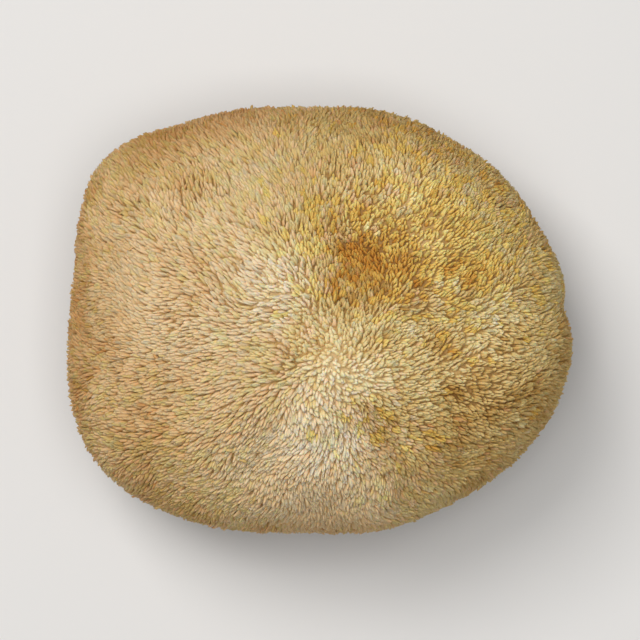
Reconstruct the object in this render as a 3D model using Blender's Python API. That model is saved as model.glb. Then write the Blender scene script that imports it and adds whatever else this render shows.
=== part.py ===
"""A dried lion's mane mushroom, cut off at its foot and resting on the cut.

The whole mushroom grew as one piece, so it is one solid: a lumpy ball whose skin is
a dense coat of short blunt spines, and the short foot that held it to its log.
Metres, +Z up. The origin is the middle of the flat cut face, and +X is its longest
width. The photographed face is the crown, which looks up.
"""

import math

import bmesh
import bpy
import numpy as np

# Driving dimensions, in metres
WIDTH = 0.079
DEPTH = 0.067
BALL_TOP = 0.0487
WAIST_HEIGHT = 0.0225
SKIRT_GAP = 0.0030
FOOT_CUT_RADIUS = 0.0140
FOOT_NECK_RADIUS = 0.0175
FOOT_TALL = 0.0120
FOOT_RECESS = 0.0015
FOOT_RECESS_SPREAD = 0.62
SPINE_TALL = 0.0011
SPINE_LEAN = 0.0009

# How square the ball is: 2 is an ellipse, and more is boxier
CROWN_SQUARENESS = 2.25
BELLY_SQUARENESS = 2.6
PLAN_SQUARENESS = 2.55
PLAN_SQUARER_LEFT = 0.62
PLAN_SKEW = 0.24

# Lobes of the crown in plan: x, y, how far each reaches, and how high it rises
LOBES = (
    (-0.0200, 0.0070, 0.0145, 0.0026),
    (-0.0065, 0.0060, 0.0070, 0.0012),
    (0.0190, 0.0205, 0.0100, 0.0018),
    (0.0035, -0.0080, 0.0080, 0.0018),
    (0.0010, -0.0210, 0.0100, 0.0022),
    (0.0260, -0.0110, 0.0100, 0.0020),
    (-0.0240, -0.0170, 0.0100, 0.0014),
    (0.0085, 0.0095, 0.0085, -0.0030),
    (0.0205, 0.0062, 0.0080, -0.0018),
)

# Creases between the lobes in plan: from x, y to x, y, how wide, and how deep
CREASES = (
    (-0.0040, 0.0280, 0.0030, 0.0090, 0.0044, 0.0012),
    (0.0440, 0.0020, 0.0090, -0.0030, 0.0036, 0.0018),
    (0.0110, -0.0020, -0.0030, -0.0005, 0.0034, 0.0009),
    (-0.0005, -0.0050, -0.0135, -0.0285, 0.0036, 0.0015),
    (0.0060, -0.0120, 0.0165, -0.0310, 0.0036, 0.0021),
    (-0.0240, -0.0050, -0.0400, -0.0090, 0.0040, 0.0009),
)

CREASE_END_LENGTH = 0.25
CREASE_END_DEPTH = 0.35

# Gentle undulation left by drying: wavelength, height and seed. It is weaker at the rim
UNDULATIONS = ((0.0210, 0.00050, 3), (0.0095, 0.00018, 8))
WAVES = 14
RIM_EVENNESS = 0.90
RIM_SPREAD = 0.45

# How high on the ball, from 0 at its waist to 1 at its top, the crown's forms reach full depth
CROWN_FADE = 0.62

# The rim's own shape: azimuth and spread in degrees, and how far it stands out. The first is a notch
RIM_CHANGES = (
    (2.5, 5.0, -0.0010),
    (164.0, 15.0, -0.0014),
    (126.0, 12.0, -0.0010),
    (310.0, 18.0, -0.0014),
    (38.0, 15.0, 0.0011),
    (348.0, 16.0, 0.0010),
)

# The coat of spines: its low points lie on one spiral round the ball, and a spine
# stands on each triangle between them
LOW_POINTS = 1640
GOLDEN_ANGLE = math.pi * (3.0 - math.sqrt(5.0))
JITTER = 0.26
TIP_JITTER = 0.10
SPINE_UNEVENNESS = 0.0003
BARE_UNDERSIDE_DEGREES = 31.0
COAT_SEED = 11

FOOT_CORNERS = 40
FOOT_WOBBLES = ((2, 0.050, 0.6), (3, 0.035, 2.1), (5, 0.022, 4.0))

STRAW = (0.55, 0.39, 0.19, 1.0)
STRAW_ROUGHNESS = 0.92


def clear_scene():
    for obj in list(bpy.data.objects):
        bpy.data.objects.remove(obj, do_unlink=True)


def smooth_step(value):
    held = np.clip(value, 0.0, 1.0)
    return held * held * (3.0 - 2.0 * held)


def ripple(points, wavelength, seed):
    """The sum of WAVES plane waves of one wavelength in random directions, of about unit height."""
    dice = np.random.default_rng(seed)
    ways = dice.normal(size=(WAVES, 3))
    ways /= np.linalg.norm(ways, axis=1, keepdims=True)
    starts = dice.uniform(0.0, 2.0 * math.pi, WAVES)
    phases = points @ ways.T * (2.0 * math.pi / wavelength) + starts
    return np.sin(phases).sum(axis=1) / math.sqrt(WAVES / 2.0)


def ball_radius(ways):
    """Distance from the waist's centre to a squarish ellipsoid, along unit directions.

    The plan outline is |x/a|^p + |y/b|^p = 1, with p larger on the left and at two
    opposite corners, and the upright section is |plan|^m + |z/c|^m = 1, with its own
    c and m below the waist.
    """
    x, y, z = np.abs(ways).T
    azimuth = np.arctan2(ways[:, 1], ways[:, 0])
    plan_power = (
        PLAN_SQUARENESS
        - PLAN_SQUARER_LEFT * np.cos(azimuth)
        - PLAN_SKEW * np.sin(2.0 * azimuth)
    )
    above = ways[:, 2] > 0.0
    power = np.where(above, CROWN_SQUARENESS, BELLY_SQUARENESS)
    tall = np.where(above, BALL_TOP - WAIST_HEIGHT, WAIST_HEIGHT - SKIRT_GAP)
    plan = (x / (WIDTH / 2.0)) ** plan_power + (y / (DEPTH / 2.0)) ** plan_power
    return (plan ** (power / plan_power) + (z / tall) ** power) ** (-1.0 / power)


def crown_relief(plan):
    """Height of the lobes and creases over points of the plan, before they fade out."""
    relief = np.zeros(len(plan))
    for x, y, reach, rise in LOBES:
        apart = np.hypot(plan[:, 0] - x, plan[:, 1] - y)
        relief += rise * np.exp(-((apart / reach) ** 2))
    for x0, y0, x1, y1, wide, deep in CREASES:
        start = np.array((x0, y0))
        run = np.array((x1, y1)) - start
        along = np.clip((plan - start) @ run / (run @ run), 0.0, 1.0)
        apart = np.linalg.norm(plan - start - along[:, None] * run, axis=1)
        from_ends = np.minimum(along, 1.0 - along)
        full = smooth_step(from_ends / CREASE_END_LENGTH)
        depth = deep * (CREASE_END_DEPTH + (1.0 - CREASE_END_DEPTH) * full)
        relief -= depth * np.exp(-((apart / wide) ** 2))
    return relief


def body_points(ways, sunk):
    """Points of the body along unit directions, each sunk below the spine tips.

    The crown's forms fade out towards the waist, where the rim has a few broad changes
    and one notch of its own, and the undulation is weakest there.
    """
    radius = ball_radius(ways)
    points = ways * radius[:, None]
    radius = radius + crown_relief(points[:, :2]) * smooth_step(ways[:, 2] / CROWN_FADE)
    at_rim = np.exp(-((ways[:, 2] / RIM_SPREAD) ** 2))
    for wavelength, height, seed in UNDULATIONS:
        evened = height * (1.0 - RIM_EVENNESS * at_rim)
        radius = radius + evened * ripple(points, wavelength, seed)
    azimuth = np.arctan2(ways[:, 1], ways[:, 0])
    for degrees, spread, change in RIM_CHANGES:
        apart = (azimuth - math.radians(degrees) + math.pi) % (2.0 * math.pi) - math.pi
        radius = radius + change * np.exp(-((apart / math.radians(spread)) ** 2)) * at_rim
    from_foot = np.arccos(np.clip(-ways[:, 2], -1.0, 1.0)) / FOOT_RECESS_SPREAD
    radius = radius - FOOT_RECESS * np.exp(-(from_foot ** 2)) - sunk
    points = ways * radius[:, None]
    points[:, 2] += WAIST_HEIGHT
    return points


def spiral_ways(count):
    """Unit directions spread evenly over a ball, along one spiral at the golden angle."""
    order = np.arange(count) + 0.5
    z = 1.0 - 2.0 * order / count
    level = np.sqrt(1.0 - z * z)
    azimuth = order * GOLDEN_ANGLE
    return np.stack([level * np.cos(azimuth), level * np.sin(azimuth), z], axis=1)


def nudged(ways, dice, amount):
    """Unit directions moved at random by up to amount, in radians."""
    moved = ways + dice.uniform(-amount, amount, ways.shape)
    return moved / np.linalg.norm(moved, axis=1, keepdims=True)


def make_body():
    """The ball, with one blunt spine fused on each triangle of its coat.

    The tips lean along the ball away from its top, as spines that hang do, and they end
    at slightly different heights.
    """
    dice = np.random.default_rng(COAT_SEED)
    apart = math.sqrt(4.0 * math.pi / LOW_POINTS)
    bm = bmesh.new()
    for way in nudged(spiral_ways(LOW_POINTS), dice, JITTER * apart):
        bm.verts.new(way)
    bmesh.ops.convex_hull(bm, input=bm.verts[:])
    bmesh.ops.recalc_face_normals(bm, faces=bm.faces[:])

    bare = -math.cos(math.radians(BARE_UNDERSIDE_DEGREES))
    coat = [face for face in bm.faces if face.calc_center_median().z > bare]
    tips = set(bmesh.ops.poke(bm, faces=coat)["verts"])
    ways = np.array([vert.co for vert in bm.verts])
    ways /= np.linalg.norm(ways, axis=1, keepdims=True)
    is_tip = np.array([vert in tips for vert in bm.verts])

    level = np.hypot(ways[:, 0], ways[:, 1])[:, None]
    outward = ways[:, :2] / level
    droop = np.hstack([outward * ways[:, 2:], -level])
    lean = SPINE_LEAN / (WIDTH / 2.0) * is_tip[:, None]
    leaning = nudged(ways + droop * lean, dice, TIP_JITTER * apart)
    ways = np.where(is_tip[:, None], leaning, ways)
    sunk = np.where(is_tip, dice.uniform(0.0, SPINE_UNEVENNESS, len(ways)), SPINE_TALL)
    for vert, place in zip(bm.verts, body_points(ways, sunk)):
        vert.co = place

    mesh = bpy.data.meshes.new("mushroom")
    bm.to_mesh(mesh)
    bm.free()
    return bpy.data.objects.new("mushroom", mesh)


def make_foot():
    """The short foot: a cone that widens up into the ball, with an uneven outline."""
    bm = bmesh.new()
    bmesh.ops.create_cone(
        bm,
        cap_ends=True,
        segments=FOOT_CORNERS,
        radius1=FOOT_CUT_RADIUS,
        radius2=FOOT_NECK_RADIUS,
        depth=FOOT_TALL,
    )
    for vert in bm.verts:
        azimuth = math.atan2(vert.co.y, vert.co.x)
        swell = 1.0 + sum(
            size * math.sin(turns * azimuth + start) for turns, size, start in FOOT_WOBBLES
        )
        vert.co.x *= swell
        vert.co.y *= swell
        vert.co.z += FOOT_TALL / 2.0
    mesh = bpy.data.meshes.new("foot")
    bm.to_mesh(mesh)
    bm.free()
    return bpy.data.objects.new("foot", mesh)


def straw_material():
    material = bpy.data.materials.new("dried_straw")
    material.use_nodes = True
    shader = material.node_tree.nodes["Principled BSDF"]
    shader.inputs["Base Color"].default_value = STRAW
    shader.inputs["Roughness"].default_value = STRAW_ROUGHNESS
    shader.inputs["Metallic"].default_value = 0.0
    return material


def main():
    clear_scene()
    whole = bpy.data.collections.new("dried_lions_mane_mushroom")
    joined_in = bpy.data.collections.new("joined_in")
    bpy.context.scene.collection.children.link(whole)
    bpy.context.scene.collection.children.link(joined_in)

    body = make_body()
    body.data.materials.append(straw_material())
    whole.objects.link(body)

    foot = make_foot()
    foot.hide_render = True
    foot.display_type = "WIRE"
    joined_in.objects.link(foot)

    union = body.modifiers.new("foot_grown_on", "BOOLEAN")
    union.operation = "UNION"
    union.solver = "EXACT"
    union.object = foot


main()
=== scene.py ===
# %% [markdown]
# # A dried lion's mane mushroom
# This notebook dresses one dried mushroom: a lumpy ball whose whole skin is a coat of thin spines,
# and the short foot where it was cut from its log. It rests on that flat cut and looks up with its
# crown, the side that grew away from the wood.
#
# The imported solid comes first, as the frame that every piece has to fit. Its box is kept, and the
# camera is centred over it.

# %% Load the frame
import math

import bpy
import numpy as np
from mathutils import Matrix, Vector


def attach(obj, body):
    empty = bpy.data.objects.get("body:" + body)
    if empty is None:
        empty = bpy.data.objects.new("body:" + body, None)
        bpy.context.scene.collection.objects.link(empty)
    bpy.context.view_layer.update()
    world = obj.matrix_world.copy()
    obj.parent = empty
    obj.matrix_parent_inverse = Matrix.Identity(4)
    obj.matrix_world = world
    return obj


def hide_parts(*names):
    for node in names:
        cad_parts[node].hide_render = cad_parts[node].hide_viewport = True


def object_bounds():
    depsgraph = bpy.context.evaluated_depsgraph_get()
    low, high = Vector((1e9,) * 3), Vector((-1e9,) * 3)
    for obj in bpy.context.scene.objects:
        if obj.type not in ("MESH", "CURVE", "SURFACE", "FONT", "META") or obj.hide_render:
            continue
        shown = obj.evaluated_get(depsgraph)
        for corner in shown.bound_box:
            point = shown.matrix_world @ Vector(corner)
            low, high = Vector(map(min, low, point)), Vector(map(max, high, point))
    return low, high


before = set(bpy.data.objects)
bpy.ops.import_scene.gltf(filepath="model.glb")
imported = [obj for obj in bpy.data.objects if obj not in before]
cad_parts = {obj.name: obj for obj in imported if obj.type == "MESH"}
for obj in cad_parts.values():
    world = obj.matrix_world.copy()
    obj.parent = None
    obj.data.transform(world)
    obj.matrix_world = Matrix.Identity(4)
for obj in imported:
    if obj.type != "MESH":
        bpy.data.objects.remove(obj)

BODY = "root"
NODE = "mushroom"
cad_low, cad_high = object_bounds()

# %% [markdown]
# ## The camera
# The crown is seen from straight above, with the camera far off and a long lens, so there is hardly
# any perspective. Setting the view up before any modelling means that each piece can be judged as the
# picture will show it.

# %% Camera
CAMERA_HEIGHT = 0.62
SENSOR_WIDTH = 36.0
FRAME_SPAN = 0.101
CLIP_START = 0.01
WAIST_HEIGHT = 0.0225

camera_data = bpy.data.cameras.new("camera")
camera_data.sensor_width = SENSOR_WIDTH
camera_data.lens = SENSOR_WIDTH * (CAMERA_HEIGHT - WAIST_HEIGHT) / FRAME_SPAN
camera_data.clip_start = CLIP_START
camera = bpy.data.objects.new("camera", camera_data)
camera.location = ((cad_low[0] + cad_high[0]) / 2.0, (cad_low[1] + cad_high[1]) / 2.0, CAMERA_HEIGHT)
bpy.context.scene.collection.objects.link(camera)
bpy.context.scene.camera = camera
print("lens in mm:", round(camera_data.lens, 1))

# %% [markdown]
# ## The form
# The mushroom has no flat face or straight edge to start from, but every ray from its middle meets
# its skin once. So the whole form can be one function: a direction goes in, and the point of the skin
# comes out. It starts from a squarish ball, which lobes, creases and gentle undulation then change.
# Sculpting would give a shape that nothing else could follow. A function can be asked again for the
# skin below the spines, for each spine's root, and for the way that it leans.

# %% A squarish ball
WIDTH = 0.079
DEPTH = 0.067
BALL_TOP = 0.0487
SKIRT_GAP = 0.0030
CROWN_SQUARENESS = 2.25
BELLY_SQUARENESS = 2.6
PLAN_SQUARENESS = 2.55
PLAN_SQUARER_LEFT = 0.62
PLAN_SKEW = 0.24


def unit(vectors):
    """Each vector divided by its length."""
    return vectors / np.linalg.norm(vectors, axis=1, keepdims=True)


def smooth_step(value):
    """3t^2 - 2t^3 of the value held between 0 and 1: it starts and ends level."""
    held = np.clip(value, 0.0, 1.0)
    return held * held * (3.0 - 2.0 * held)


def ball_radius(ways):
    """Distance from the waist's centre to the ball, along unit directions.

    The plan is |x/a|^p + |y/b|^p = 1, where p is larger on the left and at two opposite corners. The
    upright section is |plan|^m + |z/c|^m = 1, where m and c are other numbers below the waist.
    """
    x, y, z = np.abs(ways).T
    azimuth = np.arctan2(ways[:, 1], ways[:, 0])
    plan_power = (
        PLAN_SQUARENESS
        - PLAN_SQUARER_LEFT * np.cos(azimuth)
        - PLAN_SKEW * np.sin(2.0 * azimuth)
    )
    above = ways[:, 2] > 0.0
    power = np.where(above, CROWN_SQUARENESS, BELLY_SQUARENESS)
    tall = np.where(above, BALL_TOP - WAIST_HEIGHT, WAIST_HEIGHT - SKIRT_GAP)
    plan = (x / (WIDTH / 2.0)) ** plan_power + (y / (DEPTH / 2.0)) ** plan_power
    return (plan ** (power / plan_power) + (z / tall) ** power) ** (-1.0 / power)


to_the_right = np.array([[1.0, 0.0, 0.0]])
print("ball's half width in mm:", round(1000.0 * float(ball_radius(to_the_right)[0]), 1))

# %% [markdown]
# ## Lobes, creases and undulation
# A lobe is a soft bump in plan, with a place, a reach and a rise, and a hollow is a lobe that rises
# by less than nothing. A crease is a soft groove along a short line. Drying also leaves a gentle
# unevenness everywhere, which is a sum of sine waves that run in random directions. The seeds are
# fixed, so the mushroom is the same each time.

# %% Relief of the crown
# Each lobe: x, y, reach and rise.
LOBES = (
    (-0.0200, 0.0070, 0.0145, 0.0026),
    (-0.0065, 0.0060, 0.0070, 0.0012),
    (0.0190, 0.0205, 0.0100, 0.0018),
    (0.0035, -0.0080, 0.0080, 0.0018),
    (0.0010, -0.0210, 0.0100, 0.0022),
    (0.0260, -0.0110, 0.0100, 0.0020),
    (-0.0240, -0.0170, 0.0100, 0.0014),
    (0.0085, 0.0095, 0.0085, -0.0030),
    (0.0205, 0.0062, 0.0080, -0.0018),
)
# Each crease: the x and y of its two ends, its width and its depth.
CREASES = (
    (-0.0040, 0.0280, 0.0030, 0.0090, 0.0044, 0.0012),
    (0.0440, 0.0020, 0.0090, -0.0030, 0.0036, 0.0018),
    (0.0110, -0.0020, -0.0030, -0.0005, 0.0034, 0.0009),
    (-0.0005, -0.0050, -0.0135, -0.0285, 0.0036, 0.0015),
    (0.0060, -0.0120, 0.0165, -0.0310, 0.0036, 0.0021),
    (-0.0240, -0.0050, -0.0400, -0.0090, 0.0040, 0.0009),
)
CREASE_END_LENGTH = 0.25
CREASE_END_DEPTH = 0.35
# Each undulation: wavelength, height and seed.
UNDULATIONS = ((0.0210, 0.00050, 3), (0.0095, 0.00018, 8))
WAVES = 14


def ripple(points, wavelength, seed):
    """The sum of WAVES sine waves of one wavelength in random directions, of about unit height."""
    dice = np.random.default_rng(seed)
    ways = unit(dice.normal(size=(WAVES, 3)))
    starts = dice.uniform(0.0, 2.0 * math.pi, WAVES)
    phases = points @ ways.T * (2.0 * math.pi / wavelength) + starts
    return np.sin(phases).sum(axis=1) / math.sqrt(WAVES / 2.0)


def bump_over(plan, x, y, reach):
    """exp(-(d/reach)^2), where d is the distance in plan from x, y: 1 there, and soon nothing."""
    apart = np.hypot(plan[:, 0] - x, plan[:, 1] - y)
    return np.exp(-((apart / reach) ** 2))


def groove_over(plan, x0, y0, x1, y1, wide):
    """exp(-(d/wide)^2), where d is the distance in plan from a line, shallower near its ends."""
    start = np.array((x0, y0))
    run = np.array((x1, y1)) - start
    along = np.clip((plan - start) @ run / (run @ run), 0.0, 1.0)
    apart = np.linalg.norm(plan - start - along[:, None] * run, axis=1)
    full = smooth_step(np.minimum(along, 1.0 - along) / CREASE_END_LENGTH)
    return (CREASE_END_DEPTH + (1.0 - CREASE_END_DEPTH) * full) * np.exp(-((apart / wide) ** 2))


def crown_relief(plan):
    """The lobes' bumps less the creases' grooves, over points of the plan."""
    relief = np.zeros(len(plan))
    for x, y, reach, rise in LOBES:
        relief += rise * bump_over(plan, x, y, reach)
    for x0, y0, x1, y1, wide, deep in CREASES:
        relief -= deep * groove_over(plan, x0, y0, x1, y1, wide)
    return relief


print("lobes and hollows:", len(LOBES), "creases:", len(CREASES))

# %% The form as one function
RIM_EVENNESS = 0.90
RIM_SPREAD = 0.45
CROWN_FADE = 0.62
# Each change of the rim: azimuth and spread in degrees, and change of radius.
RIM_CHANGES = (
    (2.5, 5.0, -0.0010),
    (164.0, 15.0, -0.0014),
    (126.0, 12.0, -0.0010),
    (310.0, 18.0, -0.0014),
    (38.0, 15.0, 0.0011),
    (348.0, 16.0, 0.0010),
)
FOOT_RECESS = 0.0015
FOOT_RECESS_SPREAD = 0.62
SLOPE_STEP = 0.004
NEARLY_UPRIGHT = 0.9


def form(ways, sunk=0.0):
    """Points of the mushroom along unit directions, each sunk that far below the spines' tips.

    The radius is the ball's, plus the crown's relief, which fades out at the waist, plus the
    undulation, which is weakest there, plus the rim's own changes, less the hollow round the foot.
    """
    radius = ball_radius(ways)
    points = ways * radius[:, None]
    radius = radius + crown_relief(points[:, :2]) * smooth_step(ways[:, 2] / CROWN_FADE)
    at_rim = np.exp(-((ways[:, 2] / RIM_SPREAD) ** 2))
    for wavelength, height, seed in UNDULATIONS:
        evened = height * (1.0 - RIM_EVENNESS * at_rim)
        radius = radius + evened * ripple(points, wavelength, seed)
    azimuth = np.arctan2(ways[:, 1], ways[:, 0])
    for degrees, spread, change in RIM_CHANGES:
        apart = (azimuth - math.radians(degrees) + math.pi) % (2.0 * math.pi) - math.pi
        radius = radius + change * np.exp(-((apart / math.radians(spread)) ** 2)) * at_rim
    from_foot = np.arccos(np.clip(-ways[:, 2], -1.0, 1.0)) / FOOT_RECESS_SPREAD
    radius = radius - FOOT_RECESS * np.exp(-(from_foot ** 2)) - sunk
    points = ways * radius[:, None]
    points[:, 2] += WAIST_HEIGHT
    return points


def square_pair(ways):
    """Two unit directions square to each way and to each other, from cross products."""
    helper = np.where(np.abs(ways[:, 2:]) < NEARLY_UPRIGHT, (0.0, 0.0, 1.0), (1.0, 0.0, 0.0))
    first = unit(np.cross(helper, ways))
    return first, np.cross(ways, first)


def outward(ways):
    """Unit normals of the form: the cross product of its slopes along two square directions."""
    first, second = square_pair(ways)
    slopes = []
    for side in (first, second):
        ahead = form(unit(ways + SLOPE_STEP * side))
        behind = form(unit(ways - SLOPE_STEP * side))
        slopes.append(ahead - behind)
    return unit(np.cross(*slopes))


crown = form(np.array([[0.0, 0.0, 1.0]]))[0]
print("crown above the floor in mm:", round(1000.0 * crown[2], 1))

# %% [markdown]
# ## Putting arrays into meshes
# Blender can take whole arrays at once, which is far quicker than adding a vertex at a time. The
# helper also writes the surface map named OFBake, which the coat's material reads, and says how many
# triangles the piece has. Each piece rides on the mushroom's only body and stands for its solid.

# %% Helpers for pieces
def new_piece(name, points, quads, triangles, maps, material):
    """A smooth mesh piece from arrays: points, corners of its faces, and a map place for each corner."""
    mesh = bpy.data.meshes.new(name)
    corners = np.concatenate([quads.ravel(), triangles.ravel()])
    starts = np.concatenate(
        [np.arange(len(quads)) * 4, len(quads) * 4 + np.arange(len(triangles)) * 3]
    )
    mesh.vertices.add(len(points))
    mesh.vertices.foreach_set("co", points.astype(np.float32).ravel())
    mesh.loops.add(len(corners))
    mesh.loops.foreach_set("vertex_index", corners.astype(np.int32))
    mesh.polygons.add(len(starts))
    mesh.polygons.foreach_set("loop_start", starts.astype(np.int32))
    layer = mesh.uv_layers.new(name="OFBake")
    layer.uv.foreach_set("vector", maps.astype(np.float32).ravel())
    mesh.update(calc_edges=True)
    mesh.shade_smooth()
    mesh.materials.append(material)

    piece = bpy.data.objects.new(name, mesh)
    bpy.context.scene.collection.objects.link(piece)
    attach(piece, BODY)
    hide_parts(NODE)
    print(name, "triangles:", 2 * len(quads) + len(triangles))
    return piece


# %% [markdown]
# ## Finishes
# Everything here is dry and matt: amber flesh, straw spines and a tan foot. Dry flesh and a cut foot
# are never one even colour, or quite smooth. So both share a small group of nodes that gives a soft
# mottle from two sizes of noise, and each feeds it its own size. The mottle sets their colour, how
# rough they are, and a low bump. The spines need no bump, because their relief is modelled.

# %% Node helpers and the shared mottle
def add_node(tree, kind, **values):
    """A node of that kind, with its settings and its inputs filled in by name."""
    node = tree.nodes.new(kind)
    for name, value in values.items():
        if name in node.inputs:
            node.inputs[name].default_value = value
        else:
            setattr(node, name, value)
    return node


def mapped(tree, value, low, high, first=0.0, last=1.0, ease="LINEAR"):
    """From first to last as the value goes from low to high, and held there beyond them."""
    node = add_node(tree, "ShaderNodeMapRange", interpolation_type=ease)
    for name, number in (("From Min", low), ("From Max", high), ("To Min", first), ("To Max", last)):
        node.inputs[name].default_value = number
    tree.links.new(value, node.inputs["Value"])
    return node.outputs["Result"]


FINER_PATCHES = 4.0
NOISE_DETAIL = 2.0
NOISE_ROUGHNESS = 0.6
MOTTLE_LOW = 0.70
MOTTLE_HIGH = 1.30


def mottle_group():
    """The sum of two noises, one of them finer, put in more contrast."""
    group = bpy.data.node_groups.new("dry_mottle", "ShaderNodeTree")
    face = group.interface
    face.new_socket("Place", in_out="INPUT", socket_type="NodeSocketVector")
    face.new_socket("Patches per unit", in_out="INPUT", socket_type="NodeSocketFloat")
    face.new_socket("Mask", in_out="OUTPUT", socket_type="NodeSocketFloat")
    source = group.nodes.new("NodeGroupInput")
    result = group.nodes.new("NodeGroupOutput")
    finer = add_node(group, "ShaderNodeMath", operation="MULTIPLY")
    finer.inputs[1].default_value = FINER_PATCHES
    group.links.new(source.outputs["Patches per unit"], finer.inputs[0])
    mixed = add_node(group, "ShaderNodeMath", operation="ADD")
    for index, scale in enumerate((source.outputs["Patches per unit"], finer.outputs[0])):
        noise = add_node(group, "ShaderNodeTexNoise", Detail=NOISE_DETAIL, Roughness=NOISE_ROUGHNESS)
        group.links.new(source.outputs["Place"], noise.inputs["Vector"])
        group.links.new(scale, noise.inputs["Scale"])
        group.links.new(noise.outputs["Fac"], mixed.inputs[index])
    contrast = mapped(group, mixed.outputs[0], MOTTLE_LOW, MOTTLE_HIGH)
    group.links.new(contrast, result.inputs["Mask"])
    return group


MOTTLE = mottle_group()
MATT_SPECULAR = 0.25


def add_mottle(tree, place, patches):
    """The shared mottle's mask at a place, with that many patches to the metre."""
    node = tree.nodes.new("ShaderNodeGroup")
    node.node_tree = MOTTLE
    node.inputs["Patches per unit"].default_value = patches
    tree.links.new(place, node.inputs["Place"])
    return node.outputs["Mask"]


def new_material(name):
    """A matt material, its tree of nodes and its Principled shader."""
    material = bpy.data.materials.new(name)
    material.use_nodes = True
    shader = material.node_tree.nodes["Principled BSDF"]
    shader.inputs["Specular IOR Level"].default_value = MATT_SPECULAR
    print("material:", name)
    return material, material.node_tree, shader


def add_relief(tree, shader, mask, height, roughest, smoothest):
    """Bumps of that height in metres where the mask is high, where it is also less rough."""
    bump = add_node(tree, "ShaderNodeBump", Distance=height)
    tree.links.new(mask, bump.inputs["Height"])
    tree.links.new(bump.outputs["Normal"], shader.inputs["Normal"])
    tree.links.new(mapped(tree, mask, 0.0, 1.0, roughest, smoothest), shader.inputs["Roughness"])


def add_ramp(tree, amount, stops):
    """A colour ramp over amount, from (place, colour) pairs."""
    node = tree.nodes.new("ShaderNodeValToRGB")
    ramp = node.color_ramp
    while len(ramp.elements) < len(stops):
        ramp.elements.new(1.0)
    for element, (place, colour) in zip(ramp.elements, stops):
        element.position = place
        element.color = (*colour, 1.0)
    tree.links.new(amount, node.inputs["Fac"])
    return node.outputs["Color"]


def mix_colours(tree, amount, first, second, blend="MIX"):
    """Blends the second colour over the first by an amount, each of them a value or a socket.

    A Mix node has sockets for every kind of data: 0, 6, 7 and output 2 are the ones for colours.
    """
    node = add_node(tree, "ShaderNodeMix", data_type="RGBA", blend_type=blend)
    for index, value in ((0, amount), (6, first), (7, second)):
        if isinstance(value, bpy.types.NodeSocket):
            tree.links.new(value, node.inputs[index])
        else:
            node.inputs[index].default_value = value
    return node.outputs[2]


# %% [markdown]
# ## Smooth and tufted coat
# The left lobe dried smooth and even. In the hollow and on the right the coat dried in tufts: the
# spines there stand steeper, cling together more and differ more from tuft to tuft, so amber shows
# between them. One share says how tufted each place is, and both tones and directions read it.

# %% Tufted share
# Each place: x, y, reach and most share.
TUFTED_PLACES = (
    (0.0170, 0.0120, 0.0150, 1.0),
    (0.0060, 0.0085, 0.0080, 0.6),
    (0.0270, -0.0100, 0.0140, 0.8),
    (0.0080, -0.0150, 0.0060, 0.5),
)


def tufted_share(points):
    """How far the coat stands in tufts: 0 where it lies smooth, and 1 where it is all tufts."""
    share = sum(most * bump_over(points[:, :2], x, y, reach) for x, y, reach, most in TUFTED_PLACES)
    return np.minimum(share, 1.0)


print("tufted share at the crown:", round(float(tufted_share(crown[None])[0]), 2))

# %% [markdown]
# ## Tones
# The coat isn't one colour. It is palest on the ridges near the middle, straw at the top, rosy tan on
# the left and deep amber in the hollow, where part of the darkness is painted shade. It is painted
# darker down the flanks, round the rims and at the lower right, which is painted shade, and along the
# creases, which is partly its own amber and partly painted shade; two pale patches near the right edge
# are painted highlight. Soft blotches a few millimetres wide run all over it, strongest
# where it stands in tufts, and neighbours differ a little, as dry grass stems do. One number for each
# spine holds its tone, from deep amber at 0 to pale cream at 1. Each spine is also of a straw, a rosy
# or a golden family. Chance draws it in small patches, with most rosy spines on the left and most
# golden ones in and beside the hollow.
#
# An image could hold all this, but it would stretch over the sides. Bumps, lines and waves of tone are
# functions of the place, as the form is, so the flesh and every spine can ask for theirs.

# %% Tones over the form
TONE_BASE = 0.56
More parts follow.
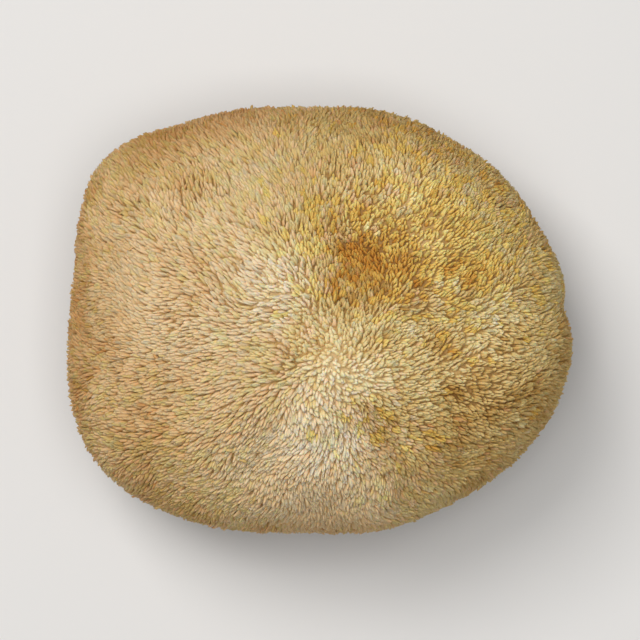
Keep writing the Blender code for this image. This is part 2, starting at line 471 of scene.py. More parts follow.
# Each place: x, y, reach and change of tone. Some are the coat's own pale and amber patches; the dark
# ones round the rims and at the lower right are painted shade, the hollow's are partly its own amber and
# partly painted shade, and two pale ones near the right edge are painted highlight.
TONE_SHADE_AND_HIGHLIGHT_PLACES = (
    (-0.0200, 0.0070, 0.0150, 0.02),
    (-0.0150, 0.0140, 0.0060, -0.05),
    (-0.0055, 0.0045, 0.0060, 0.30),
    (0.0042, -0.0085, 0.0068, 0.27),
    (0.0018, 0.0012, 0.0045, -0.12),
    (-0.0014, -0.0180, 0.0078, 0.20),
    # The hollow: partly its own amber, partly painted shade on the wall that faces away from the light.
    (0.0076, 0.0086, 0.0058, -0.50),
    (0.0052, 0.0050, 0.0036, -0.20),
    (0.0175, 0.0075, 0.0092, -0.09),
    (0.0235, 0.0068, 0.0064, -0.14),
    (0.0310, 0.0100, 0.0050, -0.09),
    # A pale patch at the right edge: painted highlight.
    (0.0340, 0.0060, 0.0060, 0.15),
    (0.0165, 0.0260, 0.0105, -0.18),
    (0.0130, 0.0162, 0.0055, 0.15),
    (0.0005, 0.0165, 0.0042, -0.12),
    (0.0240, 0.0150, 0.0045, 0.07),
    (0.0076, -0.0146, 0.0024, -0.12),
    (0.0050, -0.0170, 0.0034, 0.07),
    # Darker at the lower right: painted shade.
    (0.0222, -0.0190, 0.0092, -0.39),
    (0.0280, -0.0228, 0.0062, 0.18),
    # Darker at the right rim: painted shade.
    (0.0320, -0.0095, 0.0085, -0.16),
    (0.0315, -0.0170, 0.0040, 0.08),
    (0.0160, -0.0285, 0.0070, 0.20),
    # Darker at the lower left: painted shade.
    (-0.0250, -0.0180, 0.0105, -0.23),
    (-0.0330, -0.0235, 0.0050, 0.12),
    (-0.0100, -0.0325, 0.0070, 0.09),
    # The next seven darken the rims on the left, top and lower left: painted shade.
    (-0.0340, 0.0120, 0.0080, -0.10),
    (-0.0360, -0.0020, 0.0090, -0.22),
    (-0.0250, 0.0240, 0.0080, -0.16),
    (-0.0120, 0.0330, 0.0080, -0.24),
    (0.0060, 0.0335, 0.0080, -0.19),
    (-0.0190, -0.0255, 0.0055, -0.08),
    (-0.0225, 0.0300, 0.0075, -0.18),
    (-0.0169, 0.0073, 0.0021, -0.07),
    (-0.0134, -0.0122, 0.0034, -0.08),
    (-0.0100, -0.0185, 0.0040, 0.06),
    (0.0176, -0.0038, 0.0034, -0.12),
    (0.0160, -0.0090, 0.0040, 0.06),
    (0.0200, -0.0120, 0.0020, -0.10),
    # A pale patch towards the right edge: painted highlight.
    (0.0260, -0.0005, 0.0045, 0.11),
)
# Each line: the x and y of its two ends, its width and its change of tone. They run along the creases,
# darker there partly by the coat's own amber and partly as painted shade.
CREASE_TONE_AND_SHADE_LINES = (
    (0.0015, 0.0280, -0.0038, 0.0150, 0.0028, -0.19),
    (-0.0040, -0.0050, -0.0118, -0.0250, 0.0025, -0.10),
    (0.0060, -0.0110, 0.0150, -0.0290, 0.0024, -0.18),
)
# Ripples, blotches and the ripple that breaks up places and lines: wavelength, change and seed.
TONE_RIPPLES = ((0.0100, 0.035, 41), (0.0036, 0.025, 42), (0.0015, 0.020, 43))
BLOTCHES = ((0.0062, 0.058, 419), (0.0028, 0.030, 218))
LEAST_BLOTCHES = 0.35
TONE_BREAK = (0.0044, 0.38, 109)
# The tone drops this much down the flanks: painted shade on the sides.
FLANK_PAINTED_SHADE = -0.27
FLANK_TOP = 0.0430
FLANK_OVER = 0.0160
UPPER_OVER = 0.0100
TONE_TUFT_SPREAD = 0.026
TONE_SPREAD = 0.036
SMOOTH_SPREAD_SHARE = 0.6
# The chances of a rosy and of a golden spine. Each place: x, y, reach and change of chance.
ROSY_BASE = 0.16
ROSY_PLACES = (
    (-0.0260, 0.0000, 0.0230, 0.82),
    (-0.0070, 0.0060, 0.0070, 0.15),
    (-0.0010, -0.0210, 0.0110, 0.52),
    (0.0078, -0.0148, 0.0050, 0.30),
    (0.0030, -0.0060, 0.0090, -0.30),
    (0.0280, -0.0040, 0.0220, -0.16),
    (-0.0140, 0.0330, 0.0095, 0.70),
    (0.0020, -0.0330, 0.0130, 0.60),
)
GOLDEN_PLACES = (
    (0.0072, 0.0096, 0.0078, 0.78),
    (0.0180, 0.0112, 0.0080, 1.02),
    (0.0260, 0.0100, 0.0088, 0.42),
    (0.0140, 0.0220, 0.0120, 0.20),
    (0.0240, -0.0120, 0.0150, 0.06),
    (0.0176, -0.0038, 0.0034, 0.25),
    (-0.0022, 0.0165, 0.0042, 0.36),
    (0.0078, -0.0148, 0.0040, 0.40),
)
# The patches of rosy spines: wavelength, share of the draw that they share, and seed.
ROSY_PATCH = (0.0030, 0.65, 45)
EVEN_DRAW_SLOPE = 1.7


def chance_over(points, places, base=0.0):
    """A chance: its base plus the bump of each place, over points of the form."""
    return base + sum(change * bump_over(points[:, :2], x, y, reach) for x, y, reach, change in places)


def even_draw(normal):
    """Turns normal random values n into nearly even ones between 0 and 1: 1 / (1 + exp(-k n))."""
    return 1.0 / (1.0 + np.exp(-EVEN_DRAW_SLOPE * normal))


def tone_and_painted_light_over(points):
    """The base tone plus bumps, lines, ripples and blotches, less down the flanks as painted shade.

    The bumps and lines fade out at the waist. Where the coat is tufted, its blotches are strongest,
    and a ripple makes the bumps and lines stronger and weaker by turns.
    """
    # The drop down the flanks is painted shade; the places and lines below add painted shade and
    # highlight beside the coat's own tone.
    tone = TONE_BASE + FLANK_PAINTED_SHADE * smooth_step((FLANK_TOP - points[:, 2]) / FLANK_OVER)
    upper = smooth_step((points[:, 2] - WAIST_HEIGHT) / UPPER_OVER)
    tufts = tufted_share(points)
    wavelength, height, seed = TONE_BREAK
    upper *= 1.0 + height * tufts * ripple(points, wavelength, seed)
    for x, y, reach, change in TONE_SHADE_AND_HIGHLIGHT_PLACES:
        tone += change * bump_over(points[:, :2], x, y, reach) * upper
    for x0, y0, x1, y1, wide, change in CREASE_TONE_AND_SHADE_LINES:
        tone += change * groove_over(points[:, :2], x0, y0, x1, y1, wide) * upper
    for wavelength, change, seed in TONE_RIPPLES:
        tone += change * ripple(points, wavelength, seed)
    share = LEAST_BLOTCHES + (1.0 - LEAST_BLOTCHES) * tufts
    for wavelength, change, seed in BLOTCHES:
        tone += change * share * ripple(points, wavelength, seed)
    return tone


print("tone at the crown:", round(float(tone_and_painted_light_over(crown[None])[0]), 2))

# %% [markdown]
# ## The flesh
# Under the spines there is a skin of dried flesh, amber brown because its juices dried there. It only
# shows as the darkness between the spines, yet it has to be there, or light would leak through the
# coat. It is a globe of rows and columns pushed out to the form, but sunk by a little less than the
# coat's depth, so that every root stands in it. The two poles are single points, so the skin is closed.

# %% Flesh material
AMBER_STOPS = (
    (0.10, (0.260, 0.130, 0.028)),
    (0.60, (0.520, 0.340, 0.125)),
    (0.95, (0.740, 0.580, 0.340)),
)
FLESH_PATCHES = 420.0
FLESH_BUMPS = 0.0002
FLESH_ROUGHEST = 0.85
FLESH_SMOOTHEST = 0.60
FLESH_SHADES = ((0.0, (0.78, 0.72, 0.66)), (1.0, (1.0, 1.0, 1.0)))


def flesh_material():
    """Amber by the flesh's own tone, times a shade by the mottle, which also sets its relief."""
    material, tree, shader = new_material("amber_flesh")
    place = tree.nodes.new("ShaderNodeTexCoord").outputs["Object"]
    tone = add_node(tree, "ShaderNodeAttribute", attribute_name="tone").outputs["Fac"]
    toned = add_ramp(tree, tone, AMBER_STOPS)
    mask = add_mottle(tree, place, FLESH_PATCHES)
    shade = add_ramp(tree, mask, FLESH_SHADES)
    colour = mix_colours(tree, 1.0, toned, shade, "MULTIPLY")
    tree.links.new(colour, shader.inputs["Base Color"])
    add_relief(tree, shader, mask, FLESH_BUMPS, FLESH_ROUGHEST, FLESH_SMOOTHEST)
    return material


# %% Flesh
FLESH_RINGS = 100
FLESH_COLUMNS = 200
CROWN_COAT = 0.0011
SIDE_COAT = 0.0026
UNDER_COAT = 0.0013
ROOTS_IN_FLESH = 0.0004
SIDE_COAT_BELOW = 0.5
SIDE_COAT_OVER = 0.9
BARE_UNDERSIDE_DEGREES = 31.0
COAT_FULL_DEGREES = 48.0


def coat_share(ways):
    """How full the coat is, a smooth step of the angle from straight down: 0 close round the foot."""
    from_foot = np.degrees(np.arccos(np.clip(-ways[:, 2], -1.0, 1.0)))
    return smooth_step(
        (from_foot - BARE_UNDERSIDE_DEGREES) / (COAT_FULL_DEGREES - BARE_UNDERSIDE_DEGREES)
    )


def coat_depth(ways):
    """How deep the coat is: thin on the crown, deepest on the sides, and thin round the foot."""
    on_side = smooth_step((SIDE_COAT_BELOW - ways[:, 2]) / SIDE_COAT_OVER)
    deep = CROWN_COAT + (SIDE_COAT - CROWN_COAT) * on_side
    return UNDER_COAT + (deep - UNDER_COAT) * coat_share(ways)


def grid_ways(polar, columns):
    """Unit directions at each angle from the upright axis, at even steps round it, from the top down."""
    around = np.arange(columns) / columns * 2.0 * math.pi
    down, turn = np.meshgrid(polar, around, indexing="ij")
    ways = np.stack([np.sin(down) * np.cos(turn), np.sin(down) * np.sin(turn), np.cos(down)], axis=-1)
    return ways.reshape(-1, 3)


def ring_faces(rings, columns):
    """Faces of a closed skin of rings between two poles, and a place in its map for each corner.

    The points are the rings from the top down, then the top pole and the bottom pole. The map runs
    round the rings across, and from the bottom pole to the top one upwards.
    """
    index = np.arange(rings * columns).reshape(rings, columns)
    following = np.roll(index, -1, axis=1)
    quads = np.stack([index[:-1], index[1:], following[1:], following[:-1]], axis=-1).reshape(-1, 4)
    top = np.full(columns, rings * columns)
    upper = np.stack([top, index[0], following[0]], axis=-1)
    lower = np.stack([top + 1, following[-1], index[-1]], axis=-1)

    def places(across, up):
        """Every pair of a place across and a place up."""
        return np.stack(np.broadcast_arrays(across[None], up[:, None]), axis=-1)

    left = np.arange(columns) / columns
    right = left + 1.0 / columns
    middle = (left + right) / 2.0
    up = 1.0 - (np.arange(rings) + 1.0) / (rings + 1.0)
    sides = (places(left, up[:-1]), places(left, up[1:]), places(right, up[1:]), places(right, up[:-1]))
    above = (places(middle, np.ones(1)), places(left, up[:1]), places(right, up[:1]))
    below = (places(middle, np.zeros(1)), places(right, up[-1:]), places(left, up[-1:]))
    maps = [np.stack(group, axis=2).reshape(-1, 2) for group in (sides, above, below)]
    return quads, np.vstack([upper, lower]), np.vstack(maps)


def make_flesh():
    """The form, sunk by the coat's depth less the part of the spines that stands in the flesh."""
    polar = (np.arange(FLESH_RINGS) + 1.0) / (FLESH_RINGS + 1.0) * math.pi
    ways = np.vstack([grid_ways(polar, FLESH_COLUMNS), (0.0, 0.0, 1.0), (0.0, 0.0, -1.0)])
    quads, triangles, maps = ring_faces(FLESH_RINGS, FLESH_COLUMNS)
    points = form(ways, coat_depth(ways) - ROOTS_IN_FLESH)
    piece = new_piece("flesh", points, quads, triangles, maps, flesh_material())
    # The flesh's tone carries the same painted shade and highlight as the spines'.
    layer = piece.data.attributes.new("tone", "FLOAT", "POINT")
    layer.data.foreach_set("value", tone_and_painted_light_over(points).astype(np.float32))


make_flesh()

# %% [markdown]
# ## Where the spines stand
# The spines crowd evenly over the skin, little more than half a millimetre apart. Random places would
# leave bald spots and heaps, and rows would show. A spiral that turns by the golden angle at each
# step gives every spine nearly the same room, and a small random nudge hides its arms. Equal steps
# down the spiral pass equal shares of the skin, which the ball's mean profile gives.

# %% Roots of the spines
SPINES = 42000
COAT_SEED = 21
GOLDEN_ANGLE = math.pi * (3.0 - math.sqrt(5.0))
PROFILE_STEPS = 400
PROFILE_TURNS = 48
ROOT_JITTER = 0.34
WHORL = (0.0030, -0.0060)
WHORL_REACH = 0.0110


def near_whorl(points):
    """0 at the whorl that the spines are combed away from, and 1 from its reach outwards."""
    apart = np.hypot(points[:, 0] - WHORL[0], points[:, 1] - WHORL[1])
    return smooth_step(apart / WHORL_REACH)


def even_ways(count, dice):
    """Ray directions evenly over the skin: the golden-angle spiral, by equal shares of its area."""
    polar = (np.arange(PROFILE_STEPS) + 0.5) / PROFILE_STEPS * math.pi
    points = form(grid_ways(polar, PROFILE_TURNS))
    points[:, 2] -= WAIST_HEIGHT
    radius = np.linalg.norm(points, axis=1).reshape(PROFILE_STEPS, PROFILE_TURNS).mean(axis=1)
    across, up = radius * np.sin(polar), radius * np.cos(polar)
    strip = across * np.hypot(np.gradient(across), np.gradient(up))
    passed = np.cumsum(strip) - strip / 2.0
    down = np.interp((np.arange(count) + 0.5) / count * passed[-1], passed, polar)
    turn = np.arange(count) * GOLDEN_ANGLE
    even = np.stack([np.sin(down) * np.cos(turn), np.sin(down) * np.sin(turn), np.cos(down)], axis=1)
    apart = math.sqrt(4.0 * math.pi / count) * ROOT_JITTER
    return unit(even + dice.uniform(-apart, apart, even.shape))


dice = np.random.default_rng(COAT_SEED)
root_ways = even_ways(SPINES, dice)
root_ways = root_ways[coat_share(root_ways) > 0.0]
fullness = coat_share(root_ways)
normals = outward(root_ways)
depth = coat_depth(root_ways)
roots = form(root_ways, depth)
whorl_share = np.where(root_ways[:, 2] > 0.0, near_whorl(roots), 1.0)
tufted = tufted_share(roots)
print("spines:", len(root_ways), "mean share of tufted coat:", round(float(tufted.mean()), 2))

# %% [markdown]
# ## How the spines lie
# Living spines hang like icicles, away from the crown and then down. Drying lays them against the
# body, so from above they look like short fur combed outwards from one whorl, with a swirl on the
# right. Each spine starts steep and bends over. Its lean is measured from the skin's normal, towards
# a way along the skin: away from the whorl on the crown, and straight down on the sides. One spine
# in 33 is odd: it broke loose of its neighbours, so it lies askew, and it is darker.

# %% Directions
TUFTED_LEAN_SHARE = 0.68
HANGS_BELOW = 0.70
LEAN_DEGREES = 63.0
UNDER_LEAN_DEGREES = 24.0
LEAN_SPREAD_DEGREES = 9.0
SWIRL_DEGREES = 30.0
SWIRL_PLACE = (0.0160, -0.0110)
SWIRL_REACH = 0.0190
DRIFT_DEGREES = 16.0
DRIFT_WAVELENGTH = 0.0120
DRIFT_SEED = 31
TURN_SPREAD_DEGREES = 9.0
TUFTED_TURN_DEGREES = 12.0
ODD_SHARE = 0.03
ODD_TURN_DEGREES = 45.0
WHORL_TURN_DEGREES = 42.0
WHORL_LEAN_SHARE = 0.55
UNDER_LEAN_FULL = 0.8


def combed(points, normals):
    """Unit directions along the skin, from the whorl in plan where it looks up, and down elsewhere.

    The two are mixed by how much the normal looks up, and their part along the normal is taken off.
    """
    from_whorl = unit(points[:, :2] - WHORL)
    looks_up = smooth_step(normals[:, 2:] / HANGS_BELOW)
    pull = np.hstack([looks_up * from_whorl, looks_up - 1.0])
    return unit(pull - (pull * normals).sum(axis=1, keepdims=True) * normals)


def turned(along, normals, angle):
    """Directions along the skin turned about its normal: t cos a + (n x t) sin a."""
    aside = np.cross(normals, along)
    return along * np.cos(angle)[:, None] + aside * np.sin(angle)[:, None]


swirl = math.radians(SWIRL_DEGREES) * bump_over(roots[:, :2], *SWIRL_PLACE, SWIRL_REACH)
drift = math.radians(DRIFT_DEGREES) * ripple(roots, DRIFT_WAVELENGTH, DRIFT_SEED)
loose = TURN_SPREAD_DEGREES + TUFTED_TURN_DEGREES * tufted
loose = WHORL_TURN_DEGREES + (loose - WHORL_TURN_DEGREES) * whorl_share
odd = dice.uniform(size=len(roots)) < ODD_SHARE
loose = np.where(odd, ODD_TURN_DEGREES, loose)
spread = np.radians(loose) * dice.normal(size=len(roots))
along = turned(combed(roots, normals), normals, swirl * (normals[:, 2] > 0.0) + drift + spread)

below = smooth_step(-normals[:, 2] / UNDER_LEAN_FULL)
lean = LEAN_DEGREES + (UNDER_LEAN_DEGREES - LEAN_DEGREES) * below
lean = lean * (WHORL_LEAN_SHARE + (1.0 - WHORL_LEAN_SHARE) * whorl_share)
lean = lean * (1.0 - (1.0 - TUFTED_LEAN_SHARE) * tufted)
lean = np.radians(lean + LEAN_SPREAD_DEGREES * dice.normal(size=len(roots)))
print("mean lean in degrees:", round(float(np.degrees(lean).mean()), 1))

# %% [markdown]
# ## Curved paths and tufts
# A spine's path is a plain curve of the second degree: from its root it sets off in one direction and
# arrives in another, so its point at a share s of the length L is root + L (a s + (b - a) s^2 / 2).
# The length is what it takes to rise from the flesh to the form's surface. Dried spines also stick
# together in tufts, whose tips meet. So each belongs to the nearest of nine thousand middles, and
# its far end moves part of the way to its tuft's mean tip.

# %% Paths
START_LEAN = 0.55
END_LEAN = 1.22
LENGTH_SPREAD = 0.10
MOST_LEAN_DEGREES = 80.0
SHORTEST = 0.0004
LONGEST = 0.0065
BARE_LENGTH_SHARE = 0.35
TUFTS = 9000
TUFT_PULL = 0.22
TUFT_PULL_SPREAD = 0.18
TUFTED_PULL = 0.26
MOST_PULL = 0.9
CHUNK = 4000


def at_lean(lean):
    """The direction that leans by an angle from the normal: n cos a + t sin a."""
    return normals * np.cos(lean)[:, None] + along * np.sin(lean)[:, None]


start_way = at_lean(START_LEAN * lean)
end_way = at_lean(np.minimum(END_LEAN * lean, math.radians(MOST_LEAN_DEGREES)))
rise = ((start_way + end_way) * normals).sum(axis=1) / 2.0
length = depth / rise * (1.0 + LENGTH_SPREAD * dice.normal(size=len(roots)))
length = np.clip(length, SHORTEST, LONGEST) * (BARE_LENGTH_SHARE + (1.0 - BARE_LENGTH_SHARE) * fullness)

tuft_ways = even_ways(TUFTS, dice).astype(np.float32)
tuft_of = np.concatenate(
    [
        np.argmax(root_ways[first : first + CHUNK].astype(np.float32) @ tuft_ways.T, axis=1)
        for first in range(0, len(root_ways), CHUNK)
    ]
)
tips = roots + length[:, None] * (start_way + end_way) / 2.0
members = np.maximum(np.bincount(tuft_of, minlength=TUFTS), 1)
mean_tips = np.stack(
    [np.bincount(tuft_of, weights=tips[:, axis], minlength=TUFTS) / members for axis in range(3)],
    axis=1,
)
pull = TUFT_PULL + TUFTED_PULL * tufted + TUFT_PULL_SPREAD * dice.normal(size=len(roots))
pull = np.clip(pull, 0.0, MOST_PULL)
gather = (mean_tips[tuft_of] - tips) * pull[:, None]


def path_at(share):
    """Points at a share s of each path: root + L (a s + (b - a) s^2 / 2) + gather s^2."""
    bent = start_way * share + (end_way - start_way) * share**2 / 2.0
    return roots + length[:, None] * bent + gather * share**2


print("spines to a tuft:", round(len(roots) / TUFTS, 1))
print("mean length in mm:", round(1000.0 * float(length.mean()), 2))

# %% Tone of each spine
TUFTED_CONTRAST = 3.0
ODD_TONE = -0.18
STRAW, ROSY, GOLDEN = 0, 1, 2
FAMILY_WIDTH = 0.32
FAMILY_STEP = 0.34
LEAST_TONE = 0.02
MOST_TONE = 0.98

# Each spine's tone, painted shade and highlight included, then its tuft's and its own spread.
tone = tone_and_painted_light_over(roots)
tone += TONE_TUFT_SPREAD * (1.0 + TUFTED_CONTRAST * tufted) * dice.normal(size=TUFTS)[tuft_of]
own_spread = TONE_SPREAD * (SMOOTH_SPREAD_SHARE + (1.0 - SMOOTH_SPREAD_SHARE) * tufted)
tone += own_spread * dice.normal(size=len(roots))
tone = np.clip(tone + np.where(odd, ODD_TONE, 0.0), LEAST_TONE, MOST_TONE)

wavelength, patchy, seed = ROSY_PATCH
draw = patchy * ripple(roots, wavelength, seed)
draw += math.sqrt(1.0 - patchy**2) * dice.normal(size=len(roots))
rosy = even_draw(draw) < chance_over(roots, ROSY_PLACES, ROSY_BASE)
family = np.where(rosy, ROSY, STRAW)
golden = dice.uniform(size=TUFTS)[tuft_of] < chance_over(roots, GOLDEN_PLACES)
family = np.where(golden, GOLDEN, family)
family_tone = FAMILY_WIDTH * tone + FAMILY_STEP * family
print("mean tone:", round(float(tone.mean()), 2))
print("straw, rosy and golden spines:", np.bincount(family, minlength=3))

# %% [markdown]
# ## The coat's material
# The material reads only the spines' own map: across it run the three families with their tones, and
# up it runs the way from root to tip. So one image can later hold the colours of a band of eight
# thousand spines, which lie on each other in the map. Roots are darker, more amber and a little
# glossier, and tips are the palest. A little light passes through the spines, as
# it does through dry grass, and softens the shadows between them.

# %% Spine material
FAMILY_COLOURS = {
    STRAW: ((0.42, 0.236, 0.054), (0.63, 0.438, 0.168), (0.78, 0.612, 0.311), (0.93, 0.810, 0.560)),
    ROSY: ((0.50, 0.240, 0.068), (0.675, 0.436, 0.208), (0.81, 0.598, 0.360), (0.93, 0.790, 0.605)),
    GOLDEN: ((0.52, 0.236, 0.036), (0.705, 0.449, 0.106), (0.83, 0.632, 0.229), (0.95, 0.820, 0.462)),
}
ROOT_DARK = (0.90, 0.82, 0.70, 1.0)
ROOT_END = 0.10
TIP_START = 0.85
ROOT_ROUGHNESS = 0.65
TIP_ROUGHNESS = 0.86
LIGHT_THROUGH = 0.5
LIGHT_REACH = 0.0006
LIGHT_REACH_BY_COLOUR = (1.0, 0.6, 0.3)


def spine_material():
    """Each family's colours by tone across the map, times a shade from dark root to tip up it."""
    material, tree, shader = new_material("dried_spines")
    shader.inputs["Subsurface Weight"].default_value = LIGHT_THROUGH
    shader.inputs["Subsurface Radius"].default_value = LIGHT_REACH_BY_COLOUR
    shader.inputs["Subsurface Scale"].default_value = LIGHT_REACH
    own_map = add_node(tree, "ShaderNodeUVMap", uv_map="OFBake")
    split = tree.nodes.new("ShaderNodeSeparateXYZ")
    tree.links.new(own_map.outputs["UV"], split.inputs[0])
    stops = []
    for family_index, colours in FAMILY_COLOURS.items():
        for index, colour in enumerate(colours):
            step = FAMILY_WIDTH * index / (len(colours) - 1)
            stops.append((FAMILY_STEP * family_index + step, colour))
    tone_colour = add_ramp(tree, split.outputs["X"], stops)

    up = mapped(tree, split.outputs["Y"], ROOT_END, TIP_START, ease="SMOOTHSTEP")
    shade = mix_colours(tree, up, ROOT_DARK, (1.0, 1.0, 1.0, 1.0))
    colour = mix_colours(tree, 1.0, tone_colour, shade, "MULTIPLY")
    tree.links.new(colour, shader.inputs["Base Color"])
    rough = mapped(tree, up, 0.0, 1.0, ROOT_ROUGHNESS, TIP_ROUGHNESS)
    tree.links.new(rough, shader.inputs["Roughness"])
    return material


# %% [markdown]
# ## The coat
# Each spine is a tapering tube of four sides with three rings, a single point for its tip and a
# closed root: 22 triangles, which is little enough for tens of thousands. All of them are worked
# out at once, as arrays with one row to a spine. The coat is then cut into bands from the crown down,
# so that no piece is too heavy.

# %% Tubes
RING_SHARES = (0.0, 0.45, 0.82)
RING_WIDTHS = (1.0, 0.88, 0.56)
SIDES = 4
ROOT_RADIUS = 0.00031
RADIUS_SPREAD = 0.18
LEAST_RADIUS = 0.5
MOST_RADIUS = 1.6
BARE_WIDTH_SHARE = 0.6
WHORL_WIDTH = 1.18
SMOOTH_WIDTH = 1.22
TUFTED_WIDTH = 1.04
MAP_WIDTH = 0.005
MAP_LIFT = 0.01


def make_tubes():
    """Points, faces and maps of every spine: rings of four corners round its path, then its tip."""
    count = len(roots)
    radius = np.clip(1.0 + RADIUS_SPREAD * dice.normal(size=count), LEAST_RADIUS, MOST_RADIUS)
    radius *= ROOT_RADIUS * (BARE_WIDTH_SHARE + (1.0 - BARE_WIDTH_SHARE) * fullness)
    radius *= WHORL_WIDTH + (1.0 - WHORL_WIDTH) * whorl_share
    radius *= SMOOTH_WIDTH + (TUFTED_WIDTH - SMOOTH_WIDTH) * tufted
    first, second = square_pair(unit(start_way + end_way))
    roll = dice.uniform(0.0, 2.0 * math.pi, count)
    points, maps = [], []
    for place, width in zip(RING_SHARES, RING_WIDTHS):
        middle = path_at(place)
        for corner in range(SIDES):
            angle = roll + corner * 2.0 * math.pi / SIDES
            out = first * np.cos(angle)[:, None] + second * np.sin(angle)[:, None]
            points.append(middle + out * (radius * width)[:, None])
            across = family_tone + MAP_WIDTH * (corner / (SIDES - 1) - 0.5)
            maps.append(np.stack([across, np.full(count, place + MAP_LIFT * corner)], axis=1))
    points.append(path_at(1.0))
    maps.append(np.stack([family_tone, np.ones(count)], axis=1))
    points = np.stack(points, axis=1)
    maps = np.clip(np.stack(maps, axis=1), 0.0, 1.0)

    tip = len(RING_SHARES) * SIDES
    low = np.arange(tip - SIDES)
    following = low - low % SIDES + (low + 1) % SIDES
    quads = np.stack([low, following, following + SIDES, low + SIDES], axis=1)
    quads = np.vstack([quads, np.arange(SIDES)[::-1]])
    last = np.arange(SIDES) + tip - SIDES
    triangles = np.stack([last, np.roll(last, -1), np.full(SIDES, tip)], axis=1)
    return points, maps, quads, triangles


BANDS = ("coat_crown", "coat_shoulder", "coat_side", "coat_lower", "coat_under")


def make_coat():
    """The tubes as pieces, each of one band of the spiral from the crown down."""
    points, maps, quads, triangles = make_tubes()
    per_spine = points.shape[1]
    material = spine_material()
    edges = np.linspace(0, len(points), len(BANDS) + 1).astype(int)
    for name, low, high in zip(BANDS, edges[:-1], edges[1:]):
        shift = (np.arange(high - low) * per_spine)[:, None, None]
        all_quads = (quads[None] + shift).reshape(-1, 4)
        all_triangles = (triangles[None] + shift).reshape(-1, 3)
        flat_maps = maps[low:high].reshape(-1, 2)
        corner_maps = flat_maps[np.concatenate([all_quads.ravel(), all_triangles.ravel()])]
        flat_points = points[low:high].reshape(-1, 3)
        new_piece(name, flat_points, all_quads, all_triangles, corner_maps, material)


make_coat()

# %% [markdown]
# ## The foot
# The foot held the mushroom to its log, and a knife took it off flat. It is short, leathery and
# wrinkled, and widens up into the ball. It is a profile carried round: down the side, where ripples
# make the wrinkles, round the edge and in across the cut. The cut stays exactly flat, because the
# mushroom rests on it.

# %% Foot
FOOT_CUT_RADIUS = 0.0140
FOOT_NECK_RADIUS = 0.0175
FOOT_TALL = 0.0120
# Each wobble of the foot's outline: waves in a turn, share of the radius, and start in radians.
FOOT_WOBBLES = ((2, 0.050, 0.6), (3, 0.035, 2.1), (5, 0.022, 4.0))
FOOT_COLUMNS = 240
CUT_RINGS = 26
SIDE_RINGS = 34
EDGE_ROUNDING = 0.0004
# Each size of wrinkle: wavelength, height and seed.
WRINKLES = ((0.0022, 0.00022, 51), (0.0011, 0.00013, 52))
WRINKLE_STRETCH = 0.35
WRINKLES_FROM = 0.12
TAN_DARK = (0.36, 0.21, 0.090)
TAN = (0.62, 0.44, 0.240)
CUT_STOPS = (
    (0.00, (0.30, 0.165, 0.065)),
    (0.22, (0.50, 0.320, 0.145)),
    (0.60, (0.62, 0.440, 0.230)),
    (1.00, (0.72, 0.560, 0.340)),
)
CUT_RIM_WIDTH = 0.0022
CUT_RIM_SHADE = (0.66, 0.56, 0.46, 1.0)
CUT_COLOUR_TO = 0.25 * EDGE_ROUNDING
SIDE_COLOUR_FROM = 1.25 * EDGE_ROUNDING
FOOT_PATCHES = 300.0
FOOT_BUMPS = 0.0003
FOOT_ROUGHEST = 0.95
FOOT_SMOOTHEST = 0.70


def foot_material():
    """Tan on the side and paler on the cut, both by the mottle, and darker near the cut's rim."""
    material, tree, shader = new_material("cut_foot")
    place = tree.nodes.new("ShaderNodeTexCoord").outputs["Object"]
    mask = add_mottle(tree, place, FOOT_PATCHES)
    side = add_ramp(tree, mask, ((0.0, TAN_DARK), (1.0, TAN)))
    cut = add_ramp(tree, mask, CUT_STOPS)
    from_middle = add_node(tree, "ShaderNodeVectorMath", operation="LENGTH")
    tree.links.new(place, from_middle.inputs[0])
    rim = mapped(tree, from_middle.outputs["Value"], FOOT_CUT_RADIUS - CUT_RIM_WIDTH, FOOT_CUT_RADIUS)
    rim_shade = mix_colours(tree, rim, (1.0, 1.0, 1.0, 1.0), CUT_RIM_SHADE)
    cut = mix_colours(tree, 1.0, cut, rim_shade, "MULTIPLY")
    height = tree.nodes.new("ShaderNodeSeparateXYZ")
    tree.links.new(place, height.inputs[0])
    above_cut = mapped(tree, height.outputs["Z"], CUT_COLOUR_TO, SIDE_COLOUR_FROM)
    colour = mix_colours(tree, above_cut, cut, side)
    tree.links.new(colour, shader.inputs["Base Color"])
    add_relief(tree, shader, mask, FOOT_BUMPS, FOOT_ROUGHEST, FOOT_SMOOTHEST)
    return material


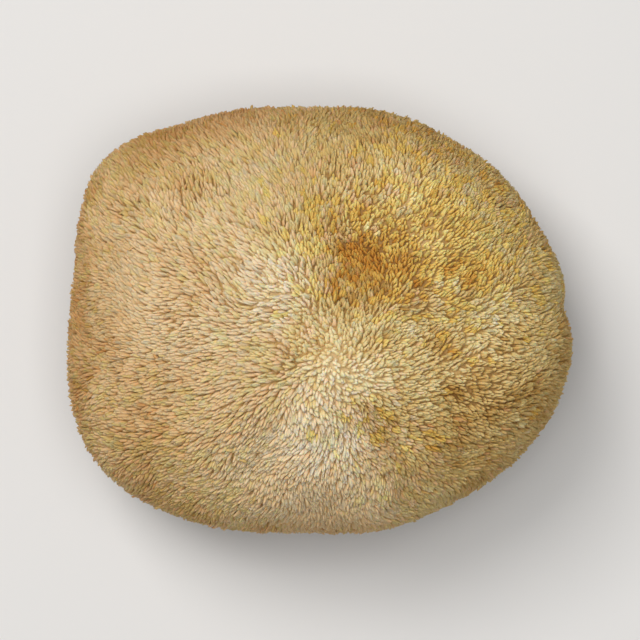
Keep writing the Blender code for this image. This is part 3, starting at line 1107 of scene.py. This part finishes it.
def make_foot():
    """A closed profile from the ball down the side and in across the cut, carried round the axis.

    Each ring's radius swells by a few sine waves of the azimuth, as the solid's does, and the side's
    by two ripples of short wavelength, stretched upright.
    """
    up = np.linspace(1.0, 0.0, SIDE_RINGS)
    inwards = np.linspace(1.0, 0.0, CUT_RINGS + 1)[:-1]
    radius = np.concatenate(
        [
            FOOT_CUT_RADIUS + (FOOT_NECK_RADIUS - FOOT_CUT_RADIUS) * up,
            (FOOT_CUT_RADIUS - EDGE_ROUNDING) * inwards,
        ]
    )
    height = np.concatenate([EDGE_ROUNDING + (FOOT_TALL - EDGE_ROUNDING) * up, np.zeros(CUT_RINGS)])
    on_side = np.concatenate([smooth_step(up / WRINKLES_FROM), np.zeros(CUT_RINGS)])
    around = np.arange(FOOT_COLUMNS) / FOOT_COLUMNS * 2.0 * math.pi
    swell = 1.0 + sum(size * np.sin(turns * around + start) for turns, size, start in FOOT_WOBBLES)
    out = np.stack([np.cos(around), np.sin(around), np.zeros(FOOT_COLUMNS)], axis=1)
    points = radius[:, None, None] * swell[None, :, None] * out[None]
    points[:, :, 2] = height[:, None]
    squeezed = points.reshape(-1, 3) * (1.0, 1.0, WRINKLE_STRETCH)
    wrinkle = sum(size * ripple(squeezed, wavelength, seed) for wavelength, size, seed in WRINKLES)
    points += out[None] * (wrinkle.reshape(len(radius), -1) * on_side[:, None])[:, :, None]
    points = np.vstack([points.reshape(-1, 3), (0.0, 0.0, FOOT_TALL), (0.0, 0.0, 0.0)])
    quads, triangles, maps = ring_faces(len(radius), FOOT_COLUMNS)
    new_piece("foot", points, quads, triangles, maps, foot_material())


make_foot()

# %% [markdown]
# ## Floor and light
# A pale floor and soft studio lamps keep the attention on the crown. Two large lamps do most of the
# work. One hangs straight above, and one stands to the upper left, so the lower right side falls
# into a gentle shade. A weak one on the right and a dim sky only lift the shadows.

# %% Floor
FLOOR_HALF = 1.5
FLOOR_COLOUR = (0.76, 0.75, 0.73, 1.0)
FLOOR_ROUGHNESS = 0.9


def floor_material():
    """Plain, pale and matt, so that nothing draws the eye from the mushroom."""
    material, tree, shader = new_material("pale_floor")
    shader.inputs["Roughness"].default_value = FLOOR_ROUGHNESS
    shader.inputs["Base Color"].default_value = FLOOR_COLOUR
    return material


floor_mesh = bpy.data.meshes.new("floor")
floor_mesh.from_pydata(
    [(-FLOOR_HALF, -FLOOR_HALF, 0.0), (FLOOR_HALF, -FLOOR_HALF, 0.0),
     (FLOOR_HALF, FLOOR_HALF, 0.0), (-FLOOR_HALF, FLOOR_HALF, 0.0)],
    [],
    [(0, 1, 2, 3)],
)
floor_mesh.materials.append(floor_material())
floor = bpy.data.objects.new("floor", floor_mesh)
bpy.context.scene.collection.objects.link(floor)
print("floor's width in m:", 2.0 * FLOOR_HALF)

# %% Lamps
# Each lamp: name, place, width, power in watts and colour.
LAMPS = (
    ("key", (-0.34, 0.38, 0.90), 0.45, 5.4, (1.0, 0.98, 0.97)),
    ("fill", (0.60, -0.15, 0.60), 0.80, 0.2, (1.0, 0.98, 0.96)),
    ("overhead", (0.0, 0.0, 1.10), 0.60, 5.8, (1.0, 1.0, 1.0)),
)
SKY_COLOUR = (0.96, 0.97, 1.0, 1.0)
SKY_STRENGTH = 0.15


def aimed_at_mushroom(place):
    """The turn that points a lamp from its place at the mushroom's middle."""
    return (Vector((0.0, 0.0, WAIST_HEIGHT)) - Vector(place)).to_track_quat("-Z", "Y").to_euler()


for name, place, size, power, colour in LAMPS:
    lamp_data = bpy.data.lights.new(name, "AREA")
    lamp_data.size = size
    lamp_data.energy = power
    lamp_data.color = colour
    lamp = bpy.data.objects.new(name, lamp_data)
    lamp.location = place
    lamp.rotation_euler = aimed_at_mushroom(place)
    bpy.context.scene.collection.objects.link(lamp)

world = bpy.data.worlds.new("studio")
world.use_nodes = True
world.node_tree.nodes["Background"].inputs["Color"].default_value = SKY_COLOUR
world.node_tree.nodes["Background"].inputs["Strength"].default_value = SKY_STRENGTH
bpy.context.scene.world = world
bpy.context.scene.view_settings.view_transform = "Standard"
print("lamps:", len(LAMPS))
